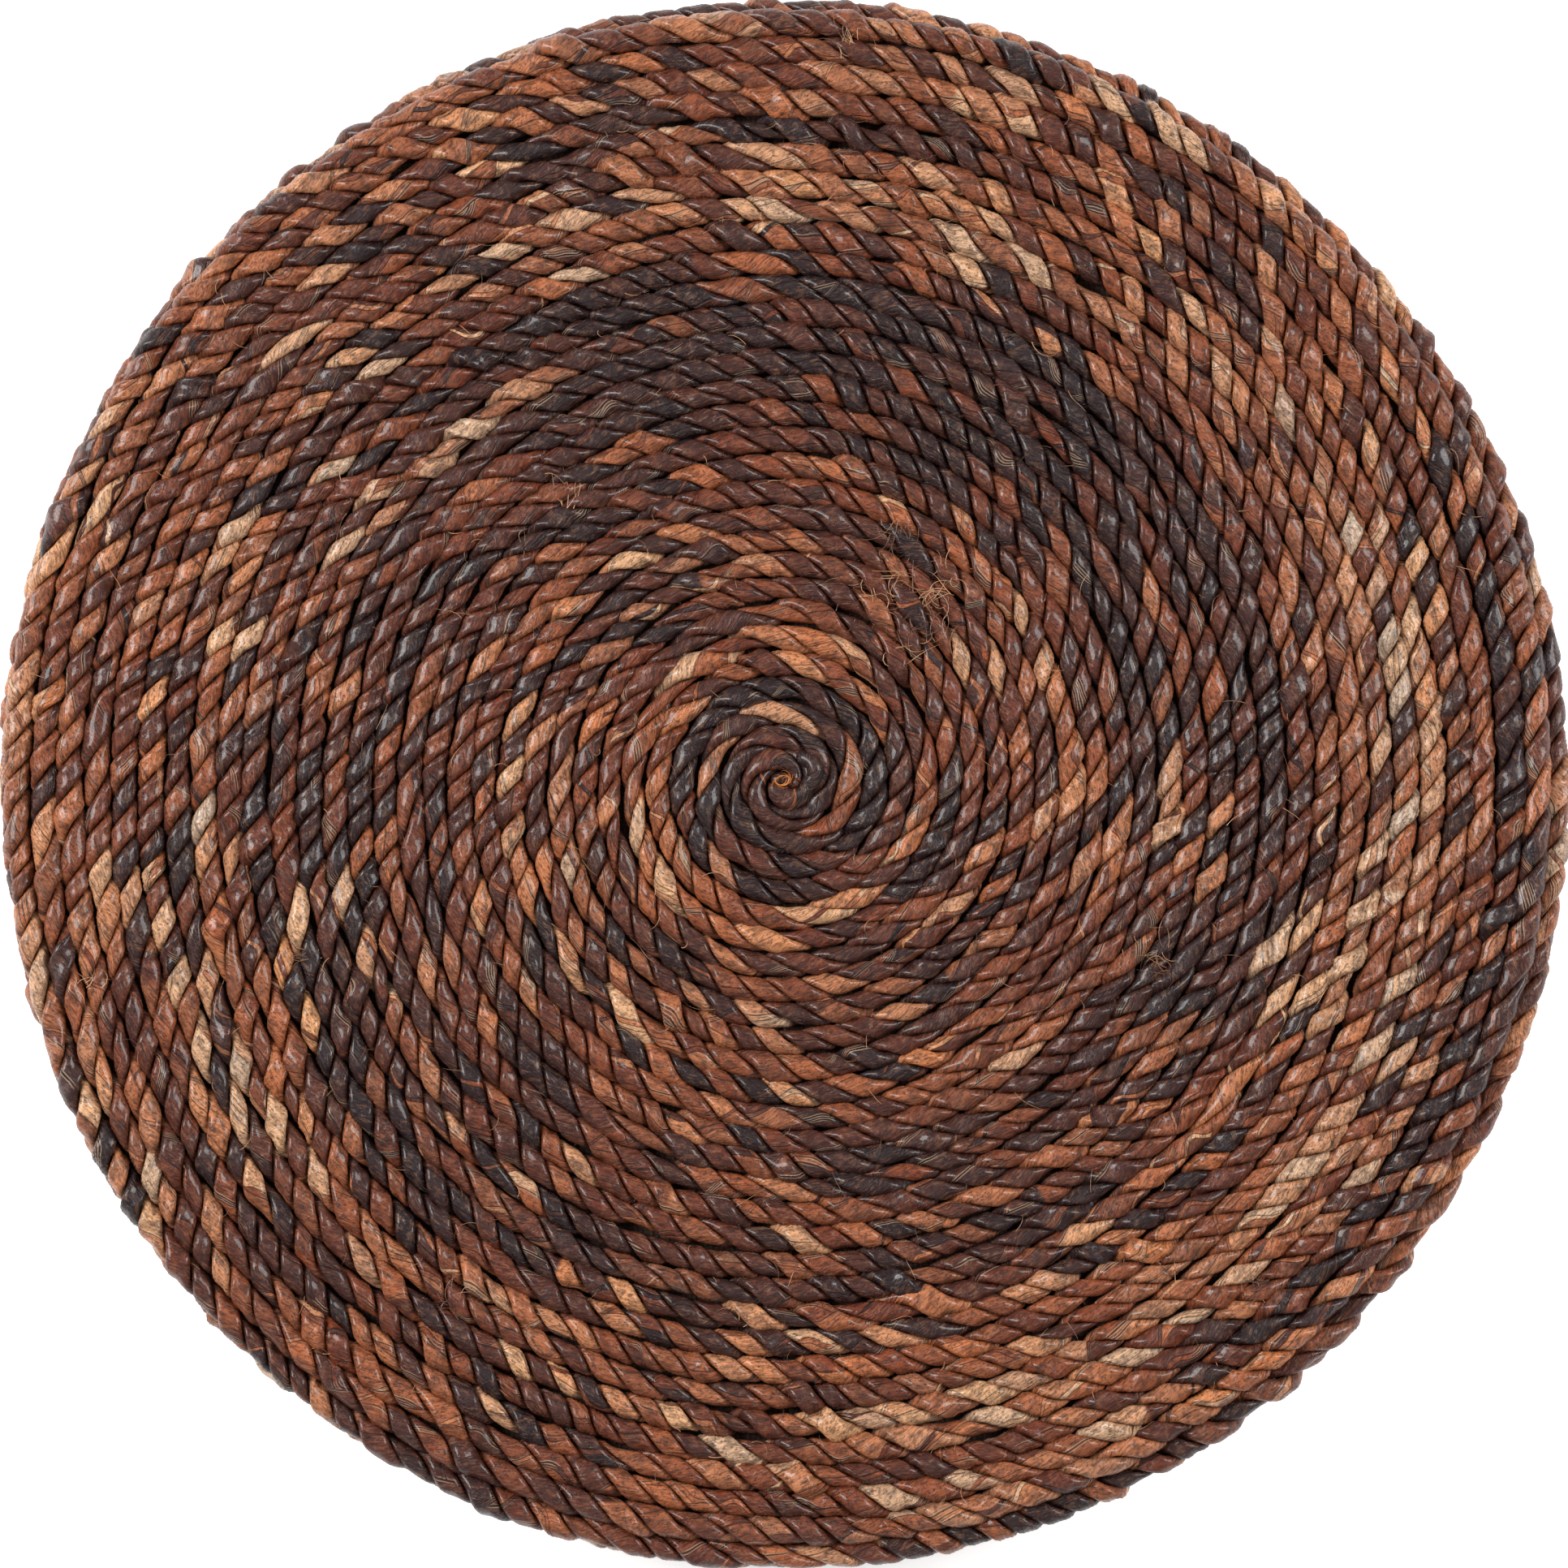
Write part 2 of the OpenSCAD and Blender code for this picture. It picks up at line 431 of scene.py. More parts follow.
# %% Section of a strand and its twist
fibre_turn = 10.4 * MM
outer_degrees = np.linspace(-100, 100, 11)
inner_degrees = np.linspace(100, 260, 7)[1:-1]
section = np.radians(np.concatenate([outer_degrees, inner_degrees]))
section_count = len(section)
depth_out, depth_in, half_width, strand_offset = 1.86 * MM, 1.34 * MM, 2.64 * MM, 1.26 * MM
cos_s, sin_s = np.cos(section), np.sin(section)
boxy = np.sign(cos_s) * np.abs(cos_s) ** 0.75
section_u = np.where(cos_s > 0, depth_out * cos_s, depth_in * boxy)
section_w = half_width * np.sign(sin_s) * np.abs(sin_s) ** np.where(cos_s > 0, 1.0, 0.8)

# Place around the strand, as a share of the way round from the crest.
steps = np.hypot(np.diff(section_u, append=section_u[0]), np.diff(section_w, append=section_w[0]))
section_v = np.concatenate([[0], np.cumsum(steps)[:-1]]) / steps.sum()
section_v -= section_v[len(outer_degrees) // 2]
print(f"{steps.sum() / MM:.1f} mm round a strand")

inner_calm = np.clip((radius - 5 * MM) / (20 * MM), 0, 1)
twist_rate = ((0.42 + 0.58 * inner_calm) * (1 + 0.26 * drift(length, 0.035, 7))
              / np.clip(thinning, 0.3, 1) ** 0.5)
twist = 2 * np.pi * np.cumsum(twist_rate) * ring_step / lay + 0.55 * drift(length, 0.012, 8)
row_scale = 1 - pitch_spread + 2 * pitch_spread * np.clip(turn, 0, turns) / turns
tucked = (0.8 + 0.2 * np.clip(length / (8 * MM), 0, 1)) * thinning
splice_lift = 0.7 * MM


def strand_points(which):
    """Points of one strand: rings along the rope by points around the section."""
    heavier = 0.13 * drift(length, 0.07, 9) * (1 if which else -1)
    swell = (1.03 + 0.18 * drift(length, 0.0075, 20 + which) + 0.08 * drift(length, 0.03, 30 + which)
             + heavier)
    wider = 1 + 0.13 * drift(length, 0.009, 80 + which)
    for strand, distance, start, end, _, swelling in marked_lengths:
        if strand == which:
            inside, share = marked_rings(distance, start, end)
            swell += swelling * inside * np.sin(math.pi * share) ** 2
    splice = np.clip(drift(length, 0.012, 40 + which) - 0.85, 0, 0.7) * inner_calm
    swell = (swell + 0.6 * splice) * row_scale * tucked
    phase = twist + math.pi * which + 0.10 * drift(length, 0.011, 50 + which)
    toward = np.cos(phase)[:, None] * out + np.sin(phase)[:, None] * across
    beside = -np.sin(phase)[:, None] * out + np.cos(phase)[:, None] * across

    along = np.repeat(length[:, None], section_count, 1)
    around = section_v[None, :] + along / fibre_turn
    ridge = (0.13 * lumps(along, around, 0.007, 4, 60 + which)
             + 0.09 * lumps(along, around, 0.0030, 8, 70 + which))
    u = section_u[None, :] + ridge * MM * cos_s
    v = section_w[None, :] * wider[:, None] + ridge * MM * sin_s
    size = swell[:, None]
    raised = (out * (splice_lift * splice)[:, None])[:, None, :]
    return (centre[:, None, :] + raised
            + ((strand_offset + u) * size)[:, :, None] * toward[:, None, :]
            + (v * size)[:, :, None] * beside[:, None, :])


# %% A strand's mesh
lane_margin = 0.06


def tube_mesh(name, points, along, colours, lane_width):
    """A closed tube from rings of points, with its strip colours and its two maps.

    The Strand map holds the distance along and the place around. The OFBake map folds the long tube into
    lanes side by side, and puts its two ends in the free strip above them.
    """
    rings, sides = points.shape[:2]
    index = np.arange(rings * sides).reshape(rings, sides)
    ahead = np.roll(index, -1, axis=1)
    quads = np.stack([index[:-1], ahead[:-1], ahead[1:], index[1:]], 2).reshape(-1, 4)
    mesh = bpy.data.meshes.new(name)
    caps = [tuple(index[0][::-1]), tuple(index[-1])]
    loops = np.concatenate([quads.ravel(), *caps])
    wall_corners = len(quads) * 4
    starts = np.concatenate([np.arange(len(quads)) * 4, [wall_corners, wall_corners + sides]])
    mesh.vertices.add(rings * sides)
    mesh.vertices.foreach_set("co", points.reshape(-1).astype(np.float32))
    mesh.loops.add(len(loops))
    mesh.loops.foreach_set("vertex_index", loops.astype(np.int32))
    mesh.polygons.add(len(starts))
    mesh.polygons.foreach_set("loop_start", starts.astype(np.int32))
    mesh.update(calc_edges=True)
    mesh.polygons.foreach_set("use_smooth", np.ones(len(starts), bool))

    v_edge = np.linspace(0, 1, sides + 1)
    if sides == section_count:
        v_edge = np.append(section_v, 1 + section_v[0])
    u_corner = np.stack([along[:-1], along[:-1], along[1:], along[1:]], 1)
    u_corner = np.repeat(u_corner[:, None, :], sides, 1)
    v_corner = np.stack([v_edge[:-1], v_edge[1:], v_edge[1:], v_edge[:-1]], 1)
    v_corner = np.repeat(v_corner[None, :, :], rings - 1, 0)
    own = np.zeros((len(loops), 2), np.float32)
    own[:wall_corners, 0] = u_corner.reshape(-1)
    own[:wall_corners, 1] = v_corner.reshape(-1)
    own[wall_corners:, 0] = np.repeat([along[0], along[-1]], sides)
    own[wall_corners:, 1] = np.tile(v_edge[:-1], 2)
    mesh.uv_layers.new(name="Strand").data.foreach_set("uv", own.ravel())

    lanes = max(1, round(math.sqrt((along[-1] - along[0]) / lane_width)))
    per_lane = math.ceil((rings - 1) / lanes)
    ring_of = np.repeat(np.arange(rings - 1)[:, None, None], sides, 1)
    lane = ring_of // per_lane
    step_in = np.array([0, 0, 1, 1])[None, None, :]
    across_lane = (v_corner - v_edge[0]) / (v_edge[-1] - v_edge[0])
    bake = np.zeros((len(loops), 2), np.float32)
    along_lane = (ring_of - lane * per_lane + step_in) / per_lane * 0.98 + 0.01
    bake[:wall_corners, 0] = along_lane.reshape(-1)
    in_lane = (lane + lane_margin + across_lane * (1 - 2 * lane_margin)) / (lanes + 0.3)
    bake[:wall_corners, 1] = in_lane.reshape(-1)
    round_cap = np.linspace(0, 2 * np.pi, sides, endpoint=False)
    for k in (0, 1):
        spot = slice(wall_corners + k * sides, wall_corners + (k + 1) * sides)
        bake[spot, 0] = 0.2 + 0.4 * k + 0.1 / (lanes + 1) * np.cos(round_cap)
        bake[spot, 1] = 1 - 0.15 / (lanes + 1) + 0.08 / (lanes + 1) * np.sin(round_cap)
    mesh.uv_layers.new(name="OFBake").data.foreach_set("uv", bake.ravel())

    for k, colour in enumerate(colours):
        rgba = np.ones((rings, sides, 4), np.float32)
        rgba[:, :, :3] = colour[:, None, :]
        mesh.attributes.new(f"strip_{k + 1}", "FLOAT_COLOR", "POINT").data.foreach_set("color", rgba.ravel())
    mesh.validate()
    piece = bpy.data.objects.new(name, mesh)
    bpy.context.collection.objects.link(piece)
    return piece


# %% [markdown]
# ## The bark finish
# A strip is silky, with fine fibres along it, dark specks, and pale folded edges. A printed picture
# wrapped round the strand could show one strip well, but not twenty metres of them, so the finish is
# built from patterns. The map that follows the fibres picks the strip, noise that is stretched along them
# gives the fibres, rounder noise gives the specks and stains, and the lines between strips get a pale
# fold and a crease darkened with painted shade. Each strand's inner side, where it lies in the groove
# against the other, is darkened with painted shade too. A thin varnish gives the small bright streaks.

# %% Bark material
def bark(name):
    wire = Wiring(name, roughness=0.45, coat=0.34, specular=0.34)
    wire.skin.inputs["Coat Roughness"].default_value = 0.13
    split = wire.add("SeparateXYZ", {0: wire.add("UVMap", uv_map="Strand").outputs[0]})
    along, around = split.outputs[0], split.outputs[1]
    wound = wire.math("ADD", around, wire.math("DIVIDE", along, fibre_turn))
    heading = wire.math("MULTIPLY", wound, 2 * math.pi)
    strand_r = 1.9 * MM

    def place(stretch):
        """A point in space that follows the fibres, drawn out along them."""
        return wire.add("CombineXYZ", {
            0: wire.math("MULTIPLY", wire.math("COSINE", heading), strand_r),
            1: wire.math("MULTIPLY", wire.math("SINE", heading), strand_r),
            2: wire.math("DIVIDE", along, stretch)}).outputs[0]

    fibres = wire.noise(place(8), 3400, 3.0, 0.62)
    thread = wire.noise(place(5), 1300, 3.0, 0.6)
    specks = wire.noise(place(1.5), 1900, 4.0, 0.7)
    mottle = wire.noise(place(2.0), 950, 3.0, 0.6)
    stains = wire.noise(place(2.2), 420, 2.0, 0.5)
    wander = wire.noise(place(3), 260, 2.0, 0.5)

    wandering = wire.math("MULTIPLY", wire.math("SUBTRACT", wander, 0.5), 0.10)
    strip = wire.math("FRACT", wire.math("ADD", wound, wandering))
    strips = [wire.add("Attribute", attribute_name=f"strip_{k}").outputs[0] for k in (1, 2, 3)]
    slow = wire.noise(wire.add("CombineXYZ", {0: along}).outputs[0], 34, 1.0)
    first_edge = wire.remap(slow, 0.40, 0.56, 0.35, 1.02)
    second_edge = wire.math("ADD", first_edge, 0.10)
    past_first = wire.math("SUBTRACT", strip, first_edge)
    past_second = wire.math("SUBTRACT", strip, second_edge)
    colour = wire.blend(wire.remap(past_first, -0.005, 0.005), strips[0], strips[2])
    colour = wire.blend(wire.remap(past_second, -0.005, 0.005), colour, strips[1])

    # A fold or a crease lies on each line between two strips. The crease is darkened with painted shade.
    edge = wire.math("MINIMUM", wire.math("ABSOLUTE", past_first),
                     wire.math("MINIMUM", wire.math("ABSOLUTE", past_second),
                               wire.math("MINIMUM", strip, wire.math("SUBTRACT", 1.0, strip))))
    crease = wire.remap(edge, 0.0, 0.016, 1.0, 0.0)
    fold = wire.math("MULTIPLY", wire.remap(edge, 0.012, 0.02), wire.remap(edge, 0.024, 0.04, 1.0, 0.0))
    fold = wire.math("MULTIPLY", fold, wire.remap(wire.noise(place(3), 180, 1.0), 0.58, 0.66))

    def tinted(colour, share, depth, tint):
        return wire.blend(wire.math("MULTIPLY", share, depth), colour, tint)

    def darker(colour, share, depth):
        return tinted(colour, share, depth, (0.02, 0.008, 0.006, 1))

    colour = darker(colour, wire.remap(fibres, 0.54, 0.34), 0.5)
    colour = darker(colour, wire.remap(thread, 0.52, 0.34), 0.38)
    colour = darker(colour, wire.remap(stains, 0.52, 0.68), 0.45)
    colour = darker(colour, wire.remap(mottle, 0.50, 0.64), 0.45)
    colour = tinted(colour, wire.remap(mottle, 0.48, 0.34), 0.16, (0.48, 0.22, 0.10, 1))
    colour = darker(colour, wire.remap(specks, 0.54, 0.64), 0.65)
    colour = tinted(colour, wire.remap(fibres, 0.55, 0.75), 0.22, (0.62, 0.42, 0.28, 1))
    colour = tinted(colour, fold, 0.55, (0.62, 0.44, 0.30, 1))
    # Painted shade in the crease between two strips.
    colour = darker(colour, crease, 0.6)
    # Painted shade: each strand is darkened on its inner side, where it lies in the groove against the other
    # strand.
    from_inside = wire.math("ABSOLUTE", wire.math("SUBTRACT", wire.math("FRACT", around), 0.5))
    colour = darker(colour, wire.remap(from_inside, 0.17, 0.07), 0.6)

    rough = wire.math("ADD", wire.math("MULTIPLY", thread, 0.6), wire.math("MULTIPLY", stains, 0.4))
    rough = wire.remap(rough, 0.35, 0.65, 0.22, 0.48)
    relief = wire.math("ADD", wire.math("MULTIPLY", fibres, 0.6), wire.math("MULTIPLY", thread, 1.0))
    relief = wire.math("SUBTRACT", relief, wire.math("MULTIPLY", wire.remap(specks, 0.50, 0.66), 0.35))
    relief = wire.math("ADD", relief, wire.math("MULTIPLY", mottle, 1.4))
    relief = wire.math("ADD", relief, wire.math("MULTIPLY", fold, 0.6))
    relief = wire.math("SUBTRACT", relief, wire.math("MULTIPLY", crease, 0.8))
    wire.to_skin(Base_Color=colour, Roughness=rough, Normal=wire.bump(relief, 0.30 * MM, 1.0))
    return wire.material


bark_finish = bark("twisted bark")

# %% Both strands, zone by zone
zone_ends = {"seat_inner": 106 * MM, "seat_middle": 149 * MM, "seat_outer": flat_r - 2 * MM,
             "rim": flat_r + rim_run, "side": run_at(turns), "tail": run_at(turns + 1)}
zone_stands_for = {"seat_inner": ("top_coil", "rope_start"), "seat_middle": ("top_coil",),
                   "seat_outer": ("top_coil",), "rim": ("rim_coil",), "side": ("side_coil",),
                   "tail": ("rope_tail",)}
run = run_at(turn)
for which, letter in enumerate("ab"):
    points = strand_points(which)
    bulge = np.floor(twist / (2 * np.pi) + 0.5 * which + 0.5).astype(int)
    bulge = np.maximum.accumulate(bulge)
    main = strips_by_bulge(100 + 10 * which, bulge, 0.17)
    for strand, distance, start, end, change, _ in marked_lengths:
        if strand == which:
            main = (main[0] + change * marked_rings(distance, start, end)[0], main[1])
    second = strip_tones_along(101 + 10 * which, 0.02, 0.09, 0.15)
    sliver = strip_tones_along(102 + 10 * which, 0.03, 0.12, 0.20)
    second = (0.7 * main[0] + second[0], 0.7 * main[1] + second[1])
    sliver = (0.6 * main[0] + sliver[0], sliver[1])
    colours = [strip_colours(*row) for row in (main, second, sliver)]
    first = 0
    for zone, end in zone_ends.items():
        last = int(np.searchsorted(run, end))
        span = slice(first, min(last + 1, ring_count))
        piece = tube_mesh(f"rope_{zone}_strand_{letter}", points[span], length[span],
                          [c[span] for c in colours], 12 * MM)
        piece.data.materials.append(bark_finish)
        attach(piece, "root")
        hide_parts(*zone_stands_for[zone])
        print(piece.name, len(piece.data.polygons) * 2, "triangles")
        first = last

# %% [markdown]
# ## The middle of the coil
# At the very middle one cut strand end is folded over and tucked back under, and a browner end fills
# the hole beside it. Both are short curves, so points are given along each, a smooth line is
# drawn through them, and the strand tube function gives each its body and its finish.

# %% Tucked strand ends
def curve_through(places, count):
    """A smooth line of this many points through a few places given in mm."""
    places = np.array(places, float) * MM
    line = np.linspace(0, len(places) - 1, count)
    first = np.clip(line.astype(int), 0, len(places) - 2)
    share = (line - first)[:, None]
    before = places[np.clip(first - 1, 0, None)]
    after = places[np.clip(first + 2, None, len(places) - 1)]
    here, there = places[first], places[first + 1]
    return 0.5 * (2 * here + (there - before) * share
                  + (2 * before - 5 * here + 4 * there - after) * share ** 2
                  + (3 * here - before - 3 * there + after) * share ** 3)


def tube_along(line, sizes, sides):
    """Rings of points round a line, with a size at each point."""
    ahead = unit(np.gradient(line, axis=0))
    beside = unit(np.cross(ahead, [0, 0, 1.0]))
    above = np.cross(beside, ahead)
    corner = np.linspace(0, 2 * np.pi, sides, endpoint=False)
    ring = (np.cos(corner)[None, :, None] * beside[:, None, :]
            + np.sin(corner)[None, :, None] * above[:, None, :])
    return line[:, None, :] + ring * sizes[:, None, None]


def plain_strips(tones, count):
    """Three strips, each of one tone, for a short piece."""
    return [np.tile([np.interp(tone, tone_steps, tone_colours[:, k]) for k in range(3)], (count, 1))
            for tone in tones]


def tucked_end(name, places, count, size, taper, uneven, sides, tones):
    """A short length of strand through a few places in mm, narrowed over a share of it at both ends."""
    line = curve_through(places, count)
    share = np.linspace(0, 1, count)
    sizes = size * np.clip(np.minimum(share, 1 - share) / taper, 0.25, 1) ** 0.5
    sizes = sizes * (1 + uneven * drift(share * 0.02, 0.004, 141))
    piece = tube_mesh(name, tube_along(line, sizes, sides), distance_along(line),
                      plain_strips(tones, count), 6 * MM)
    piece.data.materials.append(bark_finish)
    return piece


seat_mm = top_z / MM
hook_places = [(3.0, 6.4, seat_mm - 1.2), (5.2, 6.3, seat_mm + 1.0), (7.2, 4.6, seat_mm + 2.3),
               (7.4, 2.0, seat_mm + 2.4), (5.8, -0.4, seat_mm + 1.4), (4.4, -1.2, seat_mm - 1.4)]
plug_places = [(-2.4, 0.2, seat_mm - 1.6), (-1.2, 1.2, seat_mm - 0.6), (0.8, 1.0, seat_mm - 0.5),
               (2.2, -0.4, seat_mm - 1.6)]
hook = tucked_end("rope_start_hook", hook_places, 44, 2.1 * MM, 0.16, 0.07, 14, (0.04, 0.08, 0.02))
plug = tucked_end("rope_start_plug", plug_places, 24, 1.9 * MM, 0.2, 0, 12, (0.20, 0.30, 0.12))
for piece in (hook, plug):
    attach(piece, "root")
    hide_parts("rope_start")

# %% [markdown]
# ## Loose fibres
# Dried stems shed hairs: fine curled fibres stick up all over the seat, and where a strip ends a tuft
# fans out. At the middle an orange wisp curls round in a small loop. Hair particles could do it, but
# they aren't a mesh that can be handed on. So each fibre is a thin three-sided tube along a short
# curl, which starts on a strand and lies over its neighbours.

# %% Where the fibres start
fine_hair, tuft_hair, loop_hair = 0.065 * MM, 0.10 * MM, 0.13 * MM
hair_count, loop_count = 420, 16

# Each tuft: distance in mm, angle, number of fibres. One with this many or more is a frayed patch.
frayed_from = 20
tufts = [(179, 85, 16), (168, -46, 15), (171, -75, 13), (103, -25, 14), (53, 54, 80), (68, 66, 19),
         (139, 75, 7), (120, 200, 8), (150, 238, 9), (176, 196, 8), (86, 128, 7)]
fibre_draw = chance(200)
fibre_starts = []
for _ in range(hair_count):
    place_out = pad_r * math.sqrt(fibre_draw.uniform(0.002, 0.93))
    place_angle = fibre_draw.uniform(0, 2 * math.pi)
    spot = (place_out * math.cos(place_angle), place_out * math.sin(place_angle))
    heading = fibre_draw.uniform(0, 2 * math.pi)
    fibre_starts.append((spot, heading, fibre_draw.uniform(2.5, 9) * MM, fine_hair))
for distance, degrees, count in tufts:
    place_angle = math.radians(degrees)
    heading = fibre_draw.uniform(0, 2 * math.pi)
    tuft_width, fan = (1.6, 0.5) if count < frayed_from else (5.0, 1.6)
    for _ in range(count):
        spread = fibre_draw.normal(size=2) * tuft_width * MM
        spot = (distance * MM * math.cos(place_angle) + spread[0],
                distance * MM * math.sin(place_angle) + spread[1])
        turned = heading + fibre_draw.normal() * fan
        fibre_starts.append((spot, turned, fibre_draw.uniform(5, 12) * MM, tuft_hair))

loop_from = len(fibre_starts)
for _ in range(loop_count):
    turned = fibre_draw.uniform(0, 2 * math.pi)
    spot = ((-0.2 + 2.0 * math.cos(turned)) * MM, (0.9 + 1.2 * math.sin(turned)) * MM)
    fibre_starts.append((spot, turned + 1.9, fibre_draw.uniform(3, 6) * MM, loop_hair))

# %% Stray fibres and tufts
fibre_sides, fibre_rings = 3, 9
fibre_points, fibre_faces = [], []
for fibre, (spot, heading, reach, thick) in enumerate(fibre_starts):
    part = np.linspace(0, 1, fibre_rings)
    if fibre >= loop_from:
        bend = 2.6 + 0.4 * fibre_draw.normal()
    else:
        bend = fibre_draw.normal() * (1.3 if thick == fine_hair else 2.2)
    path_heading = heading + bend * part + 0.4 * fibre_draw.normal() * np.sin(math.pi * part)
    path = np.zeros((fibre_rings, 3))
    path[1:, 0] = np.cumsum(np.cos(path_heading[:-1])) * reach / (fibre_rings - 1)
    path[1:, 1] = np.cumsum(np.sin(path_heading[:-1])) * reach / (fibre_rings - 1)
    path[:, 0] += spot[0]
    path[:, 1] += spot[1]
    arch = fibre_draw.uniform(0.2, 1.1) * MM
    path[:, 2] = pad_top - 0.55 * MM + arch * np.sin(math.pi * np.minimum(part * 1.15, 1)) ** 0.7
    outward = np.clip((np.hypot(path[:, 0], path[:, 1]) - flat_r) / rim_r, 0, 1)
    path[:, 2] -= rim_r * (1 - np.sqrt(1 - outward ** 2))
    width = thick * (1 - 0.75 * part) * fibre_draw.uniform(0.7, 1.4)
    corner = 2 * math.pi * np.arange(fibre_sides) / fibre_sides
    beside = np.stack([-np.sin(path_heading), np.cos(path_heading), np.zeros(fibre_rings)], 1)
    outline = (np.cos(corner)[None, :, None] * beside[:, None, :]
               + np.sin(corner)[None, :, None] * np.array([0, 0, 1.0]))
    ring = path[:, None, :] + width[:, None, None] * outline
    base = len(fibre_points) * fibre_rings * fibre_sides
    fibre_points.append(ring.reshape(-1, 3))
    for row in range(fibre_rings - 1):
        for side in range(fibre_sides):
            here = base + row * fibre_sides + side
            there = base + row * fibre_sides + (side + 1) % fibre_sides
            fibre_faces.append((here, there, there + fibre_sides, here + fibre_sides))
    fibre_faces.append(tuple(base + np.arange(fibre_sides)[::-1]))
    fibre_faces.append(tuple(base + (fibre_rings - 1) * fibre_sides + np.arange(fibre_sides)))
fibre_mesh = bpy.data.meshes.new("stray_fibres")
fibre_mesh.from_pydata(np.concatenate(fibre_points).tolist(), [],
                       [tuple(int(corner) for corner in face) for face in fibre_faces])
stray = bpy.data.objects.new("stray_fibres", fibre_mesh)
bpy.context.collection.objects.link(stray)

orange_within = 5 * MM
wire = Wiring("loose fibre", roughness=0.4, sheen=0.2, specular=0.5)
spot_at = wire.add("TexCoord").outputs["Object"]
patch = wire.noise(spot_at, 90, 2.0)
brown_hair, straw_hair, orange_hair = ((*linear(*tint), 1) for tint in (
    (104, 64, 44), (212, 160, 116), (206, 122, 40)))
fibre_colour = wire.blend(wire.remap(patch, 0.40, 0.62), brown_hair, straw_hair)
from_axis = wire.add("VectorMath", {0: spot_at, 1: (1, 1, 0)}, operation="MULTIPLY").outputs[0]
near_middle = wire.add("VectorMath", {0: from_axis}, operation="LENGTH").outputs["Value"]
in_loop = wire.remap(near_middle, orange_within, orange_within + 2 * MM, 1.0, 0.0)
fibre_colour = wire.blend(in_loop, fibre_colour, orange_hair)
wire.to_skin(Base_Color=fibre_colour, Roughness=wire.remap(wire.noise(spot_at, 900), 0.3, 0.7, 0.3, 0.6))
stray.data.materials.append(wire.material)
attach(stray, "root")
print(len(fibre_starts), "fibres,", len(fibre_faces), "faces")

# %% [markdown]
# ## Cloth finishes
# Canvas and scrim are both plain weave: one thread over, one under. A weave is two sets of ridges at
# right angles, and each shows where it is on top. It is worked out from the flat place on the cloth, so
# it needs no map, and it stays in place when the pad moves. Felt and foam have no threads, only
# matted fibres and open cells, so noise and cell patterns are enough for them.

# %% Woven, felted and foamed materials
def woven(name, dark, pale, pitch, roughness):
    """Plain weave with threads at this pitch, in two tones."""
    wire = Wiring(name, roughness=roughness, sheen=0.25, specular=0.25)
    place = wire.add("TexCoord").outputs["Object"]
    uneven = wire.noise(place, 60, 2.0)
    split = wire.add("SeparateXYZ", {0: place})
    warp, weft = [
        wire.math("MULTIPLY", wire.math("ADD", split.outputs[k], wire.math("MULTIPLY", uneven, 0.25 * pitch)),
                  math.pi / pitch)
        for k in (0, 1)]
    warp_ridge = wire.math("ABSOLUTE", wire.math("SINE", warp))
    weft_ridge = wire.math("ABSOLUTE", wire.math("SINE", weft))
    step_x = wire.math("FLOOR", wire.math("DIVIDE", warp, math.pi))
    step_y = wire.math("FLOOR", wire.math("DIVIDE", weft, math.pi))
    over = wire.math("PINGPONG", wire.math("ADD", step_x, step_y), 1.0)
    height = wire.math("ADD", wire.math("MULTIPLY", over, warp_ridge),
                       wire.math("MULTIPLY", wire.math("SUBTRACT", 1.0, over), weft_ridge))
    slub = wire.noise(place, 0.45 / pitch, 3.0, 0.6)
    colour = wire.blend(wire.remap(height, 0.1, 0.95), (*dark, 1), (*pale, 1))
    colour = wire.blend(wire.math("MULTIPLY", wire.remap(slub, 0.45, 0.7), 0.45), colour,
                        (*(0.45 * np.array(dark)), 1))
    fuzz = wire.noise(place, 2.5 / pitch, 2.0)
    relief = wire.math("ADD", height, wire.math("MULTIPLY", fuzz, 0.35))
    wire.to_skin(Base_Color=colour, Roughness=wire.remap(fuzz, 0.3, 0.7, roughness - 0.08, roughness + 0.08),
                 Normal=wire.bump(relief, 0.3 * pitch, 0.8))
    return wire.material


def matted(name, dark, pale, cell, roughness, cells):
    """Felt, or foam when it has cells: a two-tone pattern of this size."""
    wire = Wiring(name, roughness=roughness, sheen=0.3, specular=0.2)
    place = wire.add("TexCoord").outputs["Object"]
    broad, fine = wire.noise(place, 40, 2.0), wire.noise(place, 1 / cell, 3.0, 0.65, 0.6)
    if cells:
        fine = wire.add("TexVoronoi", {"Vector": place, "Scale": 1 / cell}).outputs["Distance"]
    mixed = wire.math("ADD", wire.math("MULTIPLY", fine, 0.7), wire.math("MULTIPLY", broad, 0.3))
    colour = wire.blend(wire.remap(mixed, 0.25, 0.65), (*dark, 1), (*pale, 1))
    wire.to_skin(Base_Color=colour, Roughness=wire.remap(broad, 0.3, 0.7, roughness - 0.06, roughness + 0.06),
                 Normal=wire.bump(fine, 0.4 * cell, 0.7))
    return wire.material


canvas_finish = woven("brown canvas", linear(66, 50, 40), linear(122, 98, 78), 0.95 * MM, 0.82)
scrim_finish = woven("dyed scrim", linear(36, 24, 19), linear(78, 54, 42), 1.3 * MM, 0.85)
felt_finish = matted("grey felt", linear(150, 146, 138), linear(206, 202, 194), 0.7 * MM, 0.9, False)
foam_finish = matted("cushion foam", linear(196, 178, 122), linear(238, 226, 186), 0.9 * MM, 0.85, True)

# %% [markdown]
# ## Scrim and felt
# Both layers were cut as discs and pulled down over the cushion, so each is a flat top with a skirt.
# They could be draped by simulation, but the rope holds them tight, and nothing is left to hang. A disc
# is inset into rings, its edge is extruded over the shoulder and down, and a Solidify modifier
# gives the cloth its thickness.

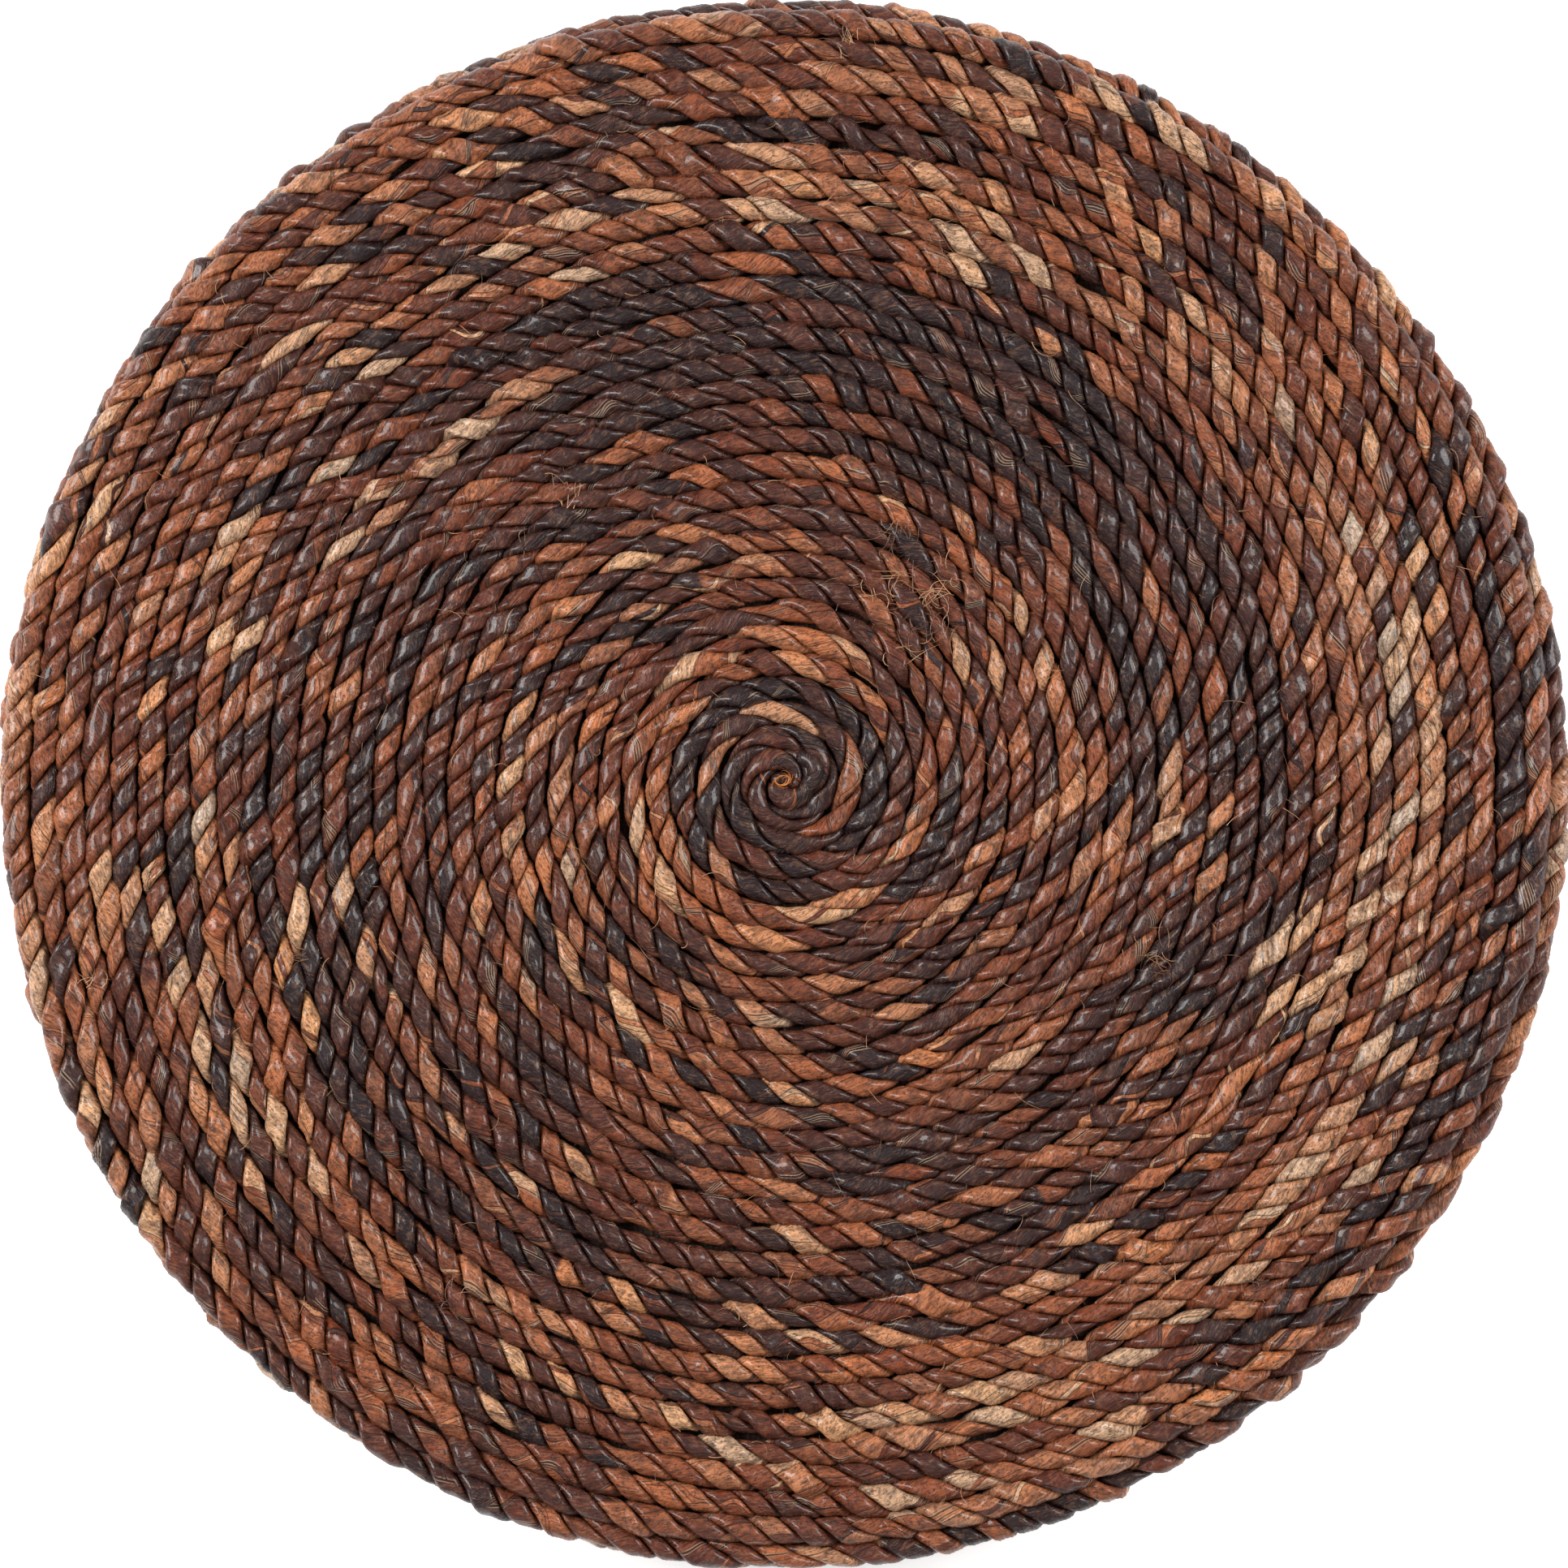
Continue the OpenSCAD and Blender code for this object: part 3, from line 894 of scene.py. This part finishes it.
# %% Sheets pulled over the cushion
def select_edges(mesh, wanted):
    """Selects the edges whose two ends pass a test, in edit mode."""
    bpy.ops.mesh.select_mode(type="EDGE")
    bpy.ops.mesh.select_all(action="DESELECT")
    bpy.ops.object.mode_set(mode="OBJECT")
    for edge in mesh.edges:
        edge.select = wanted(*(mesh.vertices[v].co for v in edge.vertices))
    bpy.ops.object.mode_set(mode="EDIT")


def disc(name, radius, z, rings, corners):
    """A flat disc of rings of faces, closed in the middle, left in edit mode."""
    deselect()
    bpy.ops.mesh.primitive_circle_add(vertices=corners, radius=radius, fill_type="NGON", location=(0, 0, z))
    piece = named(name)
    bpy.ops.object.transform_apply(location=True)
    bpy.ops.object.mode_set(mode="EDIT")
    bpy.ops.mesh.select_mode(type="FACE")
    bpy.ops.mesh.select_all(action="SELECT")
    for _ in range(rings - 1):
        bpy.ops.mesh.inset(thickness=radius / rings, depth=0)
    bpy.ops.mesh.poke()
    return piece


def skirted(name, node, corner, thick):
    """A disc over the top of a measured layer, with its edge turned down over the shoulder."""
    turn_steps, wall_steps = 3, 4
    low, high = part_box(node)
    piece = disc(name, high.x - corner, high.z, 16, 144)
    bpy.ops.mesh.select_all(action="SELECT")
    bpy.ops.mesh.region_to_loop()
    for step in range(turn_steps):
        a0, a1 = (math.pi / 2 * (step + k) / turn_steps for k in (0, 1))
        r0, r1 = (high.x - corner + corner * math.sin(a) for a in (a0, a1))
        drop = corner * (math.cos(a1) - math.cos(a0))
        bpy.ops.mesh.extrude_edges_move(TRANSFORM_OT_translate={"value": (0, 0, drop)})
        bpy.ops.transform.resize(value=(r1 / r0, r1 / r0, 1), center_override=(0, 0, 0))
    wall = high.z - corner - low.z
    for _ in range(wall_steps):
        bpy.ops.mesh.extrude_edges_move(TRANSFORM_OT_translate={"value": (0, 0, -wall / wall_steps)})
    bpy.ops.mesh.select_all(action="SELECT")
    bpy.ops.mesh.normals_make_consistent(inside=False)
    bpy.ops.object.mode_set(mode="OBJECT")
    place = np.array([v.co for v in piece.data.vertices])
    easy = np.clip((high.x - corner - np.hypot(place[:, 0], place[:, 1])) / 0.02, 0, 1)
    place[:, 2] -= easy * 0.12 * MM * (1 + waves(place[:, 0], place[:, 1], 0.03, 0.12, 77))
    piece.data.vertices.foreach_set("co", place.ravel())
    thicken(piece, thick)
    return piece


def thicken(piece, thick):
    """Gives a sheet its thickness, on the side away from its normals, and smooths its shading."""
    solid = piece.modifiers.new("thickness", "SOLIDIFY")
    solid.thickness, solid.offset = thick, -1
    bpy.context.view_layer.objects.active = piece
    bpy.ops.object.modifier_apply(modifier=solid.name)
    deselect()
    piece.select_set(True)
    bpy.ops.object.shade_smooth_by_angle(angle=math.radians(40))


scrim = skirted("backing_scrim_sheet", "backing_scrim", 0.5 * MM, 0.4 * MM)
scrim.data.materials.append(scrim_finish)
felt = skirted("felt_sheet", "felt_layer", 0.6 * MM, 3.0 * MM)
felt.data.materials.append(felt_finish)
for piece, node, slot, below in ((scrim, "backing_scrim", "scrim", "felt_sheet"),
                                 (felt, "felt_layer", "felt", "foam_cushion")):
    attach(piece, "root")
    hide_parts(node)

# %% [markdown]
# ## The foam cushion
# The cushion is a disc of foam a little thicker than the space for it, so it pushes the felt up and its
# edge bulges. A bevelled cylinder would look stamped. So the disc is remeshed into even cells, blown up
# a little with cloth pressure, and each point is kept within a few millimetres of where it began.

# %% Foam
foam_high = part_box("foam_core")[1]
foam_inset, foam_round = 1.4 * MM, 4 * MM
cell_size = 6 * MM
pressure, pressure_frames = 4, 20
foam_h = foam_high.z - hem_top - 2 * foam_inset
deselect()
bpy.ops.mesh.primitive_cylinder_add(vertices=128, radius=foam_high.x - foam_inset, depth=foam_h,
                                    location=(0, 0, hem_top + foam_inset + foam_h / 2))
foam = named("foam_cushion")
bpy.ops.object.transform_apply(location=True)
bpy.ops.object.mode_set(mode="EDIT")
outer = foam_high.x - 2 * foam_inset
select_edges(foam.data, lambda a, b: min(a.xy.length, b.xy.length) > outer and abs(a.z - b.z) < MM)
bpy.ops.mesh.bevel(offset=foam_round, segments=4)
bpy.ops.object.mode_set(mode="OBJECT")
cells = foam.modifiers.new("cells", "REMESH")
cells.mode, cells.voxel_size = "VOXEL", cell_size
bpy.ops.object.modifier_apply(modifier=cells.name)
before = np.array([v.co for v in foam.data.vertices])
cloth = foam.modifiers.new("pressure", "CLOTH")
cloth.settings.use_pressure = True
cloth.settings.uniform_pressure_force = pressure
cloth.settings.effector_weights.gravity = 0
scene.frame_start, scene.frame_end = 1, pressure_frames
for step in range(1, pressure_frames + 1):
    scene.frame_set(step)
blown = foam.evaluated_get(bpy.context.evaluated_depsgraph_get())
after = np.array([v.co for v in blown.data.vertices])
foam.modifiers.remove(cloth)
moved = after - before
reach = np.linalg.norm(moved, axis=1)
most = foam_inset * 0.95
after = before + moved * np.minimum(1, most / np.maximum(reach, 1e-9))[:, None]
foam.data.vertices.foreach_set("co", after.astype(np.float32).ravel())
scene.frame_set(1)
print(f"foam swelled by up to {min(reach.max(), most) / MM:.1f} mm")
smooth = foam.modifiers.new("smooth", "SUBSURF")
smooth.levels = smooth.render_levels = 1
bpy.context.view_layer.objects.active = foam
bpy.ops.object.modifier_apply(modifier=smooth.name)
foam.data.polygons.foreach_set("use_smooth", [True] * len(foam.data.polygons))
foam.data.materials.append(foam_finish)
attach(foam, "root")
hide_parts("foam_core")

# %% [markdown]
# ## Underside
# The underside is a canvas disc whose edge is turned in over the hem, with one row of stitches that
# pull small puckers into it. From below the pad is nearly all canvas, so its weave and its puckers
# matter. The disc is made of rings, the ring under the stitches is drawn up, and between two stitches
# it is let down again. A stitch is modelled once, as a short bowed thread, and copied round.

# %% Canvas and hem
cloth_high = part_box("base_cloth")[1]
hem_low, hem_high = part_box("base_hem")
stitch_low, stitch_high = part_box("base_stitches")
cloth_r = cloth_high.x
cloth_t = cloth_high.z
stitch_count = 120
stitch_d = stitch_high.z - stitch_low.z
stitch_r = stitch_high.x - stitch_d / 2
stitch_len = 5.6 * MM
stitch_z = stitch_d / 2 + 0.05 * MM
hem_w, hem_steps = 12 * MM, 6
pucker_room = 0.55 * MM
hem_gap = 0.2 * MM

canvas = disc("base_canvas", cloth_r, 0, 40, 360)
bpy.ops.mesh.select_all(action="SELECT")
bpy.ops.mesh.flip_normals()
bpy.ops.object.mode_set(mode="OBJECT")
place = np.array([v.co for v in canvas.data.vertices])
from_middle, around = np.hypot(place[:, 0], place[:, 1]), np.arctan2(place[:, 1], place[:, 0])

# Heights in mm: the groove under the stitches and its puckers, long creases inside it, the soft middle
# and the edge that turns up.
pull = np.exp(-((from_middle - stitch_r) / (2.6 * MM)) ** 2)
pucker = 0.34 + 0.28 * np.cos(stitch_count * around)
drawn_in = (0.16 * (1 + np.cos(38 * around + 2.5 * np.sin(5 * around)))
            * np.exp(-((from_middle - stitch_r + 9 * MM) / (8 * MM)) ** 2))
soft = (0.16 * (1 + waves(place[:, 0], place[:, 1], 0.02, 0.09, 78))
        * np.clip((stitch_r - from_middle) / 0.03, 0, 1))
edge_up = 0.9 * np.clip((from_middle - cloth_r + 2.5 * MM) / (2.5 * MM), 0, 1) ** 2
place[:, 2] = (pull * pucker + drawn_in + np.clip(soft, 0, 0.5) + edge_up) * MM
canvas.data.vertices.foreach_set("co", place.ravel())
thicken(canvas, cloth_t - pucker_room)
canvas.data.materials.append(canvas_finish)

deselect()
bpy.ops.mesh.primitive_circle_add(vertices=240, radius=cloth_r, location=(0, 0, hem_high.z - 0.15 * MM))
hem = named("base_hem_fold")
bpy.ops.object.transform_apply(location=True)
bpy.ops.object.mode_set(mode="EDIT")
bpy.ops.mesh.select_all(action="SELECT")
at_r = cloth_r
for _ in range(hem_steps):
    next_r = at_r - hem_w / hem_steps
    bpy.ops.mesh.extrude_edges_move()
    bpy.ops.transform.resize(value=(next_r / at_r, next_r / at_r, 1), center_override=(0, 0, 0))
    at_r = next_r
bpy.ops.mesh.select_all(action="SELECT")
bpy.ops.mesh.normals_make_consistent(inside=False)
bpy.ops.object.mode_set(mode="OBJECT")
if hem.data.polygons[0].normal.z < 0:
    hem.data.flip_normals()
thicken(hem, hem_high.z - hem_low.z - hem_gap)
hem.data.materials.append(canvas_finish)


# %% Stitches and their thread
def waxed_thread(name, dark, pale):
    """Twisted thread in two tones, rubbed with wax."""
    wire = Wiring(name, roughness=0.5, sheen=0.1, specular=0.4)
    twine = wire.noise(wire.add("TexCoord").outputs["Object"], 1800, 2.0, 0.6, 1.0)
    colour = wire.blend(wire.remap(twine, 0.35, 0.65), (*dark, 1), (*pale, 1))
    wire.to_skin(Base_Color=colour, Roughness=wire.remap(twine, 0.3, 0.7, 0.4, 0.6),
                 Normal=wire.bump(twine, 0.08 * MM, 0.8))
    return wire.material


stitch_finish = waxed_thread("waxed linen thread", linear(140, 112, 80), linear(204, 174, 134))

deselect()
bpy.ops.mesh.primitive_cylinder_add(vertices=8, radius=stitch_d / 2, depth=stitch_len,
                                    rotation=(math.pi / 2, 0, 0), location=(stitch_r, 0, stitch_z))
stitch = named("stitch")
bpy.ops.object.transform_apply(location=True, rotation=True)
bpy.ops.object.mode_set(mode="EDIT")
select_edges(stitch.data, lambda a, b: abs(a.y - b.y) > stitch_len / 2)
bpy.ops.mesh.subdivide(number_cuts=5)
bpy.ops.object.mode_set(mode="OBJECT")
end_narrowing, end_lift = 0.45, 0.35 * MM
for vertex in stitch.data.vertices:
    share = abs(vertex.co.y) / (stitch_len / 2)
    vertex.co.z = (stitch_z + (vertex.co.z - stitch_z) * (1 - end_narrowing * share ** 4)
                   + end_lift * share ** 4)
    vertex.co.x = stitch_r + (vertex.co.x - stitch_r) * (1 - end_narrowing * share ** 3)
stitch.data.polygons.foreach_set("use_smooth", [True] * len(stitch.data.polygons))
copies = [stitch]
for k in range(1, stitch_count):
    twin = stitch.copy()
    twin.data = stitch.data.copy()
    bpy.context.collection.objects.link(twin)
    twin.rotation_euler.z = 2 * math.pi * k / stitch_count
    copies.append(twin)
deselect()
for piece in copies:
    piece.select_set(True)
bpy.context.view_layer.objects.active = stitch
bpy.ops.object.join()
stitches = named("base_stitch_row")
stitches.data.materials.append(stitch_finish)

for piece, slot, node in ((canvas, "base_cloth", "base_cloth"), (hem, "base_cloth", "base_hem"),
                          (stitches, "thread", "base_stitches")):
    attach(piece, "root")
    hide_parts(node)

# %% [markdown]
# ## Threads under the rows
# The sewn lines that hold the rows together are round threads where the measured model has them, so
# that shape stays and only gets the thread's finish.

# %% Row threads
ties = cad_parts["row_ties"]
ties.data.materials.clear()
ties.data.materials.append(waxed_thread("dark sewing thread", linear(34, 22, 18), linear(70, 46, 34)))
